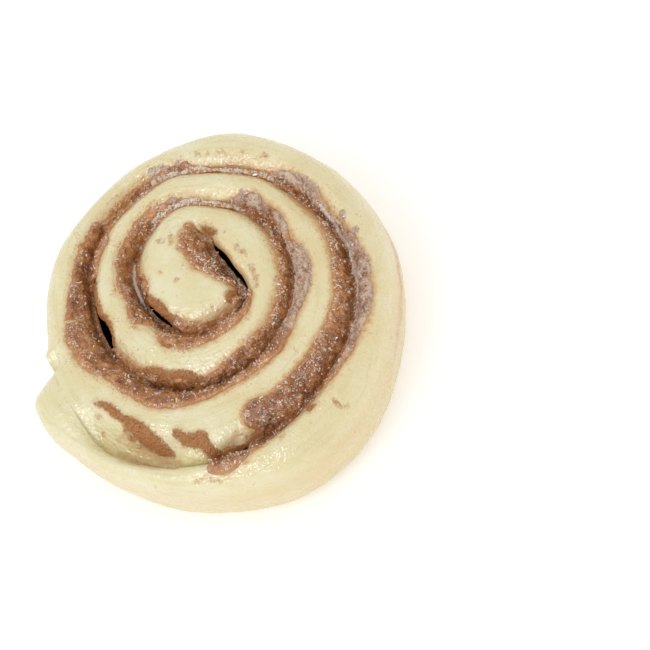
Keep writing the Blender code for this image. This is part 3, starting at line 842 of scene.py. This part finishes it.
def sugar_mesh(filling):
    """Sugar crystals lying on the filling: uneven blocks, more of them on one side of the bun."""
    places, normals = surface(filling)
    turn, inside, body, frost = (fact(filling, key) for key in ("turn", "inside", "body", "frost"))
    that_side = bump(turn % 1, *CRYSTALS_TOWARDS)
    upper = (body > 0.8) * (inside > 0.1) * (normals[:, 2] > 0.4)
    chance = upper * (0.35 + that_side) * (1.1 - frost)
    draw = np.random.default_rng(5)
    chosen = draw.choice(len(places), CRYSTALS, replace=False, p=chance / chance.sum())
    corners = 2.0 * np.array(list(np.ndindex(2, 2, 2))) - 1
    sides = [(0, 1, 3, 2), (4, 6, 7, 5), (0, 4, 5, 1), (2, 3, 7, 6), (0, 2, 6, 4), (1, 5, 7, 3)]
    points, faces = [], []
    for k, vertex in enumerate(chosen):
        turned, _ = np.linalg.qr(draw.normal(size=(3, 3)))
        sizes = draw.uniform(*CRYSTAL_SIZE) * draw.uniform(0.3, 1.0, 3) * CRYSTAL_STRETCH / 2
        uneven = draw.uniform(0.7, 1.1, (8, 1))
        middle = places[vertex] + normals[vertex] * sizes[0] * 0.4
        points.append(middle + (corners * uneven * sizes) @ turned.T)
        faces += [tuple(8 * k + c for c in side) for side in sides]
    mesh = make_mesh("sugar", np.concatenate(points), faces, {}, weld=False)
    mesh.shade_flat()
    return mesh


# Finishes. Facts that are distances are in mm, apart from "edge", which is in metres.

STREAKS_A_TURN = 18


class Finish:
    """A material made of nodes, added one at a time."""

    def __init__(self, name):
        self.material = bpy.data.materials.new(name)
        self.material.use_nodes = True
        self.tree = self.material.node_tree
        self.shader = self.tree.nodes["Principled BSDF"]
        self.place = self.add("TexCoord", {}).outputs["Object"]

    def add(self, kind, inputs, **settings):
        """A node with its settings made and its inputs given by number or name."""
        node = self.tree.nodes.new("ShaderNode" + kind)
        for key, value in settings.items():
            setattr(node, key, value)
        for key, value in inputs.items():
            self.plug(node.inputs[key], value)
        return node

    def plug(self, socket, value):
        if isinstance(value, bpy.types.NodeSocket):
            self.tree.links.new(value, socket)
        else:
            socket.default_value = value

    def fact(self, name):
        return self.add("Attribute", {}, attribute_name=name).outputs["Fac"]

    def axis(self, which):
        return self.add("SeparateXYZ", {0: self.place}).outputs[which]

    def noise(self, size, detail=2, roughness=0.5, distortion=0, where=None):
        given = {"Vector": self.place if where is None else where, "Scale": 1 / size}
        given.update(Detail=detail, Roughness=roughness, Distortion=distortion)
        return self.add("TexNoise", given).outputs["Fac"]

    def streaks(self, width, detail):
        """Noise drawn out along the turns; the width is in mm."""
        across = self.times(self.fact("away"), 1 / width)
        along = self.times(self.fact("turn"), STREAKS_A_TURN)
        joined = self.add("CombineXYZ", {0: across, 1: along})
        return self.noise(1, detail, where=joined.outputs[0])

    def math(self, operation, a, b, clamp=False):
        return self.add("Math", {0: a, 1: b}, operation=operation, use_clamp=clamp).outputs[0]

    def times(self, a, b):
        return self.math("MULTIPLY", a, b)

    def plus(self, a, b):
        return self.math("ADD", a, b)

    def less(self, a, b):
        return self.math("SUBTRACT", a, b)

    def swing(self, value, gain):
        """How far a value from 0 to 1 lies above its middle, times the gain."""
        return self.times(self.less(value, 0.5), gain)

    def between(self, value, low, high, to_low=0, to_high=1):
        """An even S from to_low at low to to_high at high."""
        given = dict(enumerate((value, low, high, to_low, to_high)))
        return self.add("MapRange", given, interpolation_type="SMOOTHSTEP").outputs[0]

    def mix(self, share, a, b):
        """The first colour, and the second over it by the share."""
        return self.add("Mix", {0: share, 6: a, 7: b}, data_type="RGBA").outputs[2]

    def lay(self, share, colour):
        """Lays a colour over the one that the finish has so far, by the share."""
        self.colour = self.mix(share, self.colour, colour)

    def bump(self, height, strength, distance, after=None):
        given = {"Height": height, "Strength": strength, "Distance": distance}
        if after is not None:
            given["Normal"] = after
        return self.add("Bump", given).outputs["Normal"]

    def set(self, **values):
        for key, value in values.items():
            self.plug(self.shader.inputs[key.replace("_", " ")], value)


def linear(red, green, blue):
    """A colour as a shader takes it, from its 0 to 255 screen values."""
    def one(value):
        value /= 255
        return value / 12.92 if value <= 0.04045 else ((value + 0.055) / 1.055) ** 2.4
    return (one(red), one(green), one(blue), 1)


# The near-black painted shade deep in the slot, and white.
SLOT_SHADE, WHITE = linear(30, 12, 5), linear(255, 255, 255)


def frost_colour(f, tone):
    """Sugar frosting on the filling: whitish grains on a greyish brown."""
    return f.mix(f.between(tone, -0.6, 0.7), linear(144, 96, 68), linear(222, 204, 186))


def paste_colour(f, tone):
    """The filling's colour by tone, dark to brown to light; from grain height it paints shade in pits,
    light on tops.
    """
    dark = f.mix(f.between(tone, -0.9, -0.1), linear(86, 40, 12), linear(152, 90, 39))
    return f.mix(f.between(tone, -0.05, 0.85), dark, linear(204, 140, 78))


def with_sugar_and_painted_glints(f, colour, amount=1):
    """The colour with whitish specks, partly wet sugar grains and partly painted glints, more in some
    places than in others.
    """
    clusters = f.swing(f.noise(2.4 * MM, 2, 0.5), 0.42)
    small = f.plus(f.noise(0.5 * MM, 2, 0.55, 2.6), clusters)
    large = f.plus(f.noise(0.95 * MM, 1.5, 0.5, 2.6), clusters)
    colour = f.mix(f.between(small, 0.56, 0.69, 0, 0.75 * amount), colour, linear(232, 202, 170))
    return f.mix(f.between(large, 0.66, 0.73, 0, 0.85 * amount), colour, linear(244, 236, 226))


def dough_finish():
    f = Finish("dough")
    edge = f.times(f.fact("edge"), 1 / MM)
    grit = f.noise(0.55 * MM, 3, 0.6)
    ragged = f.noise(1.7 * MM, 4, 0.68)
    patchy = f.between(f.noise(6 * MM, 2), 0.4, 0.65)
    winding = f.between(f.fact("turn"), 0.3, 1.1)

    # The dough's own cream, with paler patches and streaks; then painted shade to one side, low down
    # and in the folds.
    broad = f.between(f.noise(11 * MM, 4, 0.6), 0.36, 0.64)
    f.colour = f.mix(broad, linear(236, 225, 177), linear(240, 232, 191))
    pale = f.between(f.noise(3.2 * MM, 4, 0.6), 0.52, 0.72)
    f.lay(f.times(pale, 0.5), linear(241, 234, 206))
    streaks = f.times(winding, f.between(f.streaks(0.9, 3), 0.5, 0.7))
    f.lay(f.times(streaks, 0.35), linear(218, 199, 146))
    # Painted shade: darker and warmer towards +X, the side away from the key light.
    across = f.plus(f.times(f.axis(0), 0.8), f.times(f.axis(1), -0.5))
    f.lay(f.between(across, 0, 28 * MM, 0, 0.3), linear(232, 208, 156))
    # Painted shade: darker low down, in the pocket and on the lower walls.
    low = f.between(f.axis(2), 19.5 * MM, 12 * MM)
    f.lay(f.times(low, 0.45), linear(228, 198, 144))
    # Painted shade in the folds' creases.
    shaded_folds = f.plus(f.fact("shaded_folds"), f.swing(f.noise(1.2 * MM, 3), 1.6))
    f.lay(f.between(shaded_folds, 0.9, -0.3, 0, 0.55), linear(212, 166, 112))

    # What the filling leaves on the dough: stains beside the coats, specks, dust and flecks.
    peach = f.between(f.plus(edge, f.swing(broad, 3)), 5, 0)
    f.lay(f.times(peach, 0.14), linear(232, 192, 128))
    halo = f.between(f.plus(edge, f.swing(ragged, -3)), 1.8, -0.2)
    halo = f.times(halo, f.between(across, -16 * MM, 16 * MM, 0.35, 0.75))
    f.lay(halo, linear(210, 152, 88))
    near = f.times(f.between(edge, 9, 0), f.plus(f.times(patchy, 0.6), 0.4))
    speck = f.between(f.less(grit, f.less(0.76, f.times(near, 0.17))), 0, 0.03)
    f.lay(f.times(speck, 0.7), linear(202, 142, 86))
    dust = f.between(f.plus(edge, f.swing(ragged, -5)), 1.1, -0.5)
    dust = f.times(f.times(dust, f.between(grit, 0.46, 0.58)), f.plus(f.times(patchy, 0.7), 0.3))
    f.lay(f.times(dust, 0.75), linear(178, 116, 68))
    rim = f.between(f.plus(f.fact("stain"), f.swing(ragged, -5)), 2.4, -1)
    rim = f.times(rim, f.between(grit, 0.3, 0.6, 0.3, 1))
    rim = f.times(rim, f.plus(f.times(patchy, 0.6), 0.4))
    f.lay(f.times(rim, 0.75), linear(194, 130, 74))
    flecks = f.between(f.noise(1.5 * MM, 4, 0.65), 0.64, 0.71)
    flecks = f.times(flecks, f.times(patchy, f.between(f.axis(2), 12 * MM, 18 * MM)))
    f.lay(f.times(flecks, 0.6), linear(210, 156, 98))

    # Frosted patches, spots and smears, and painted shade: near black on the slot's walls deep down.
    shake = f.swing(f.noise(0.8 * MM, 4, 0.65), 1.7)
    tone = f.swing(f.noise(0.45 * MM, 4, 0.7), 3)
    frost = f.between(f.plus(f.fact("frost"), shake), 0.35, -0.25, 0, 0.85)
    f.lay(frost, frost_colour(f, tone))
    spots = f.plus(f.plus(f.fact("spots"), shake), f.swing(ragged, 3))
    spots = f.times(f.between(spots, 0.6, -0.4), f.between(grit, 0.4, 0.6, 0.4, 1))
    f.lay(f.times(spots, 0.9), linear(192, 134, 84))
    smear = f.plus(f.fact("smear"), shake)
    f.lay(f.between(smear, 1.3, 0, 0, 0.45), linear(208, 156, 98))
    smeared = f.between(smear, 0.35, -0.3)
    paste = paste_colour(f, f.plus(f.times(tone, 0.6), 0.4))
    # The smears get a little sugar and painted glints.
    f.lay(smeared, with_sugar_and_painted_glints(f, paste, 0.2))
    # Painted shade: the slot's walls turn near black below the coats' edges.
    deep = f.between(edge, -1.4, -2.2)
    f.lay(deep, SLOT_SHADE)

    # The surface: moist, duller in patches, dry on the smears; matt, darkly tinted painted shade in
    # the slot.
    rough = f.between(f.noise(4 * MM, 3), 0.35, 0.65, 0.30, 0.5)
    dry_smears_and_slot_shade = f.math("MAXIMUM", deep, f.times(smeared, 0.85))
    normal = f.bump(f.noise(1.1 * MM, 2.5, 0.6), 1, 0.48 * MM)
    normal = f.bump(f.times(winding, f.streaks(0.6, 3)), 0.5, 0.4 * MM, normal)
    normal = f.bump(f.times(smeared, grit), 1, 0.4 * MM, normal)
    f.set(
        Base_Color=f.colour, Roughness=f.math("ADD", rough, deep, clamp=True), Normal=normal,
        Subsurface_Weight=0.12, Subsurface_Scale=MM, Subsurface_Radius=(1, 0.75, 0.42),
        Coat_Weight=f.times(f.less(1, dry_smears_and_slot_shade), 0.6), Coat_Roughness=0.1, Coat_Normal=normal,
        Specular_IOR_Level=0.35, Specular_Tint=f.mix(deep, WHITE, SLOT_SHADE),
    )
    return f.material


def filling_finish():
    f = Finish("filling")
    grainy = f.noise(0.6 * MM, 3, 0.65)
    grit = f.swing(f.noise(0.45 * MM, 4, 0.65), 2.2)
    broad = f.swing(f.noise(6 * MM, 2), 0.9)
    # Own uneven tone plus grain height: darker between grains is painted shade, lighter tops painted
    # light.
    tone = f.plus(f.plus(f.fact("grain"), grit), f.less(broad, 0.02))
    tone = f.less(tone, f.between(f.fact("turn"), 2.3, 2.42, 0, 0.3))
    f.colour = paste_colour(f, tone)
    thin = f.plus(f.fact("inside"), f.swing(grainy, 2))
    f.lay(f.between(thin, 1.4, 0, 0, 0.75), linear(204, 140, 80))
    # Sugar grains and painted glints in the paste.
    f.colour = with_sugar_and_painted_glints(f, f.colour)
    frosted = f.plus(f.fact("frost"), f.swing(grainy, 1.6))
    frosted = f.plus(frosted, f.swing(f.noise(3.4 * MM, 2), 2.2))
    f.lay(f.between(frosted, 0.4, 0.9, 0, 0.7), frost_colour(f, tone))
    patchy = f.swing(f.noise(1.6 * MM, 3, 0.6), 1.3)
    sugar = f.times(f.plus(f.fact("sugar"), patchy), 0.28)
    sugar = f.between(f.plus(grainy, sugar), 0.62, 0.70)
    sugar = f.times(sugar, f.between(f.fact("sugar"), 0.1, 0.35))
    f.lay(f.times(sugar, 0.92), linear(230, 222, 208))
    # Painted shade: near black where the filling lies deep in the slot, its coat and reflection
    # dimmed.
    deep = f.between(f.fact("body"), 0.12, 0)
    f.lay(deep, SLOT_SHADE)
    normal = f.bump(f.noise(0.6 * MM, 3, 0.65), 1, 0.35 * MM)
    f.set(
        Base_Color=f.colour, Roughness=f.plus(f.times(deep, 0.6), 0.38), Normal=normal,
        Subsurface_Weight=0.1, Subsurface_Scale=0.6 * MM, Subsurface_Radius=(1, 0.5, 0.3),
        Coat_Weight=f.times(f.less(1, deep), 0.7), Coat_Roughness=0.12, Coat_Normal=normal,
        Specular_IOR_Level=0.2, Specular_Tint=f.mix(deep, WHITE, SLOT_SHADE),
    )
    return f.material


def sugar_finish():
    f = Finish("sugar")
    f.set(
        Base_Color=linear(236, 218, 198), Roughness=0.2, Coat_Weight=0.5,
        Subsurface_Weight=0.4, Subsurface_Scale=0.5 * MM, Subsurface_Radius=(1.0, 0.8, 0.6),
    )
    return f.material


# The room. Each light has its azimuth and elevation in degrees, its distance, size and power.

FLOOR_CORNERS = [(-2.0, -2.0, 0), (2.0, -2.0, 0), (2.0, 2.0, 0), (-2.0, 2.0, 0)]
ROOM_STRENGTH = 0.86
KEY = (-75, 55, 0.9, 0.35, 0.9)
GLINT = (-58, 46, 0.7, 0.15, 4.6)


def add_floor():
    mesh = bpy.data.meshes.new("floor")
    mesh.from_pydata(FLOOR_CORNERS, [], [(0, 1, 2, 3)])
    floor = add_object("floor", mesh)
    f = Finish("floor")
    f.set(Base_Color=(0.93, 0.93, 0.93, 1), Roughness=0.9, Specular_IOR_Level=0.1)
    f.set(Emission_Color=WHITE, Emission_Strength=0.25)
    mesh.materials.append(f.material)


def stand(thing, axes, place):
    """Puts a thing at a place, with the columns of axes as its own X, Y and Z."""
    pose = np.eye(4)
    pose[:3, :3] = axes
    pose[:3, 3] = place
    thing.matrix_world = Matrix(pose.tolist())


def add_area(name, azimuth, elevation, distance, size, power, glints_only=False):
    """A square soft light, aimed at the bun. Azimuth 0 stands on the -Y side and 90 on the +X side."""
    light = bpy.data.lights.new(name, "AREA")
    light.shape = "SQUARE"
    light.size = size
    light.energy = power
    lamp = add_object(name, light)
    lamp.visible_diffuse = not glints_only
    a, e = math.radians(azimuth), math.radians(elevation)
    back = np.array([math.sin(a) * math.cos(e), -math.cos(a) * math.cos(e), math.sin(e)])
    side = np.cross([0, 0, 1.0], back)
    side /= np.linalg.norm(side)
    axes = np.stack([side, np.cross(back, side), back], axis=1)
    stand(lamp, axes, back * distance + np.array([0, 0, HEIGHT / 2]))


def add_lights():
    world = bpy.data.worlds.new("room")
    world.use_nodes = True
    background = world.node_tree.nodes["Background"]
    background.inputs["Color"].default_value = WHITE
    background.inputs["Strength"].default_value = ROOM_STRENGTH
    scene.world = world
    add_area("key", *KEY)
    add_area("glint", *GLINT, glints_only=True)


# The camera looks down on the bun, turned about its own axis.
SENSOR, FOCAL_PIXELS, FRAME_PIXELS = 36, 2600, 650
CAMERA_TILT, CAMERA_ROLL = math.radians(31), math.radians(38)
CAMERA_DISTANCE = 0.598
AIMED_AT = np.array([2.6, 1.27, 11.0]) * MM
AIMED_AT_PIXEL = (222, 318)


def add_camera():
    back = np.array([0, -math.sin(CAMERA_TILT), math.cos(CAMERA_TILT)])
    right = np.array([1.0, 0, 0])
    up = np.cross(back, right)
    c, s = math.cos(CAMERA_ROLL), math.sin(CAMERA_ROLL)
    axes = np.stack([c * right - s * up, s * right + c * up, back], axis=1)
    middle = FRAME_PIXELS / 2
    ray = np.array([AIMED_AT_PIXEL[0] - middle, middle - AIMED_AT_PIXEL[1], -FOCAL_PIXELS], float)
    ray /= np.linalg.norm(ray)
    ahead = np.array([0, 0, -1.0])
    v = np.cross(ray, ahead)
    cross = np.array([[0, -v[2], v[1]], [v[2], 0, -v[0]], [-v[1], v[0], 0]])
    turned = np.eye(3) + cross + cross @ cross / (1 + ray @ ahead)
    data = bpy.data.cameras.new("camera")
    data.sensor_width = SENSOR
    data.lens = SENSOR * FOCAL_PIXELS / FRAME_PIXELS
    camera = add_object("camera", data)
    stand(camera, axes @ turned, AIMED_AT + back * CAMERA_DISTANCE)
    scene.camera = camera


add_camera()
add_lights()
add_floor()
dough = add_piece("dough_fine", dough_mesh(), dough_finish())
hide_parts("dough")
filling = add_piece("filling_fine", filling_mesh(), filling_finish())
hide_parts("filling")
add_piece("sugar_crystals", sugar_mesh(filling.data), sugar_finish())

scene.view_settings.view_transform = "Standard"
